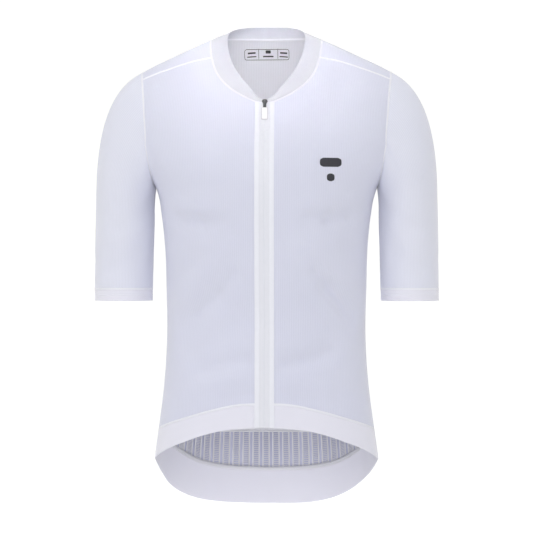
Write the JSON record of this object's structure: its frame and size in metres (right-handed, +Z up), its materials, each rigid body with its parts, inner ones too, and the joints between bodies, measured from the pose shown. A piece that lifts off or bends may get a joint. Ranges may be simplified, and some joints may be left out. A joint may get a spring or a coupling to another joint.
{
  "type": "short-sleeved cycling jersey",
  "caption": "Close-fitting short-sleeved jersey with a full front zip, low collar, elastic cuff and hem bands, dropped tail and openwork lower back, filled out as worn and hollow.",
  "frame": {"origin": "middle of the neck, level with the shoulders, where the wearer holds the garment up", "axes": "+X to the wearer's left, -Y to the front, +Z up"},
  "size_m": [0.5058, 0.2379, 0.7213],
  "materials": {
    "white_knit": "fine ribbed warp knit, matt",
    "ladder_mesh": "ladder-patterned openwork knit, matt",
    "white_elastic": "smooth elastic knit, matt",
    "zip_tape": "bonded tape, matt",
    "zip_coil": "moulded nylon coil",
    "slider_metal": "dark satin metal",
    "pull_rubber": "white moulded rubber"
  },
  "bodies": {
    "garment": {"front_left": "white_knit", "front_right": "white_knit", "back": "white_knit", "back_mesh": "ladder_mesh", "pocket_panel": "white_knit", "sleeve_left": "white_knit", "sleeve_right": "white_knit", "cuff_left": "white_elastic", "cuff_right": "white_elastic", "collar": "white_elastic", "hem_front_left": "white_elastic", "hem_front_right": "white_elastic", "hem_back": "white_elastic", "zip_tape_left": "zip_tape", "zip_tape_right": "zip_tape", "zip_chain": "zip_coil", "zip_slider": "slider_metal"},
    "pull": {"zip_pull": "pull_rubber"}
  },
  "joints": [
    {"name": "pull_hinge", "type": "hinge", "parent": "garment", "child": "pull", "pos_m": [0, -0.08361, -0.09047], "axis": [-1, 0, 0], "range_deg": [0, 150]}
  ]
}
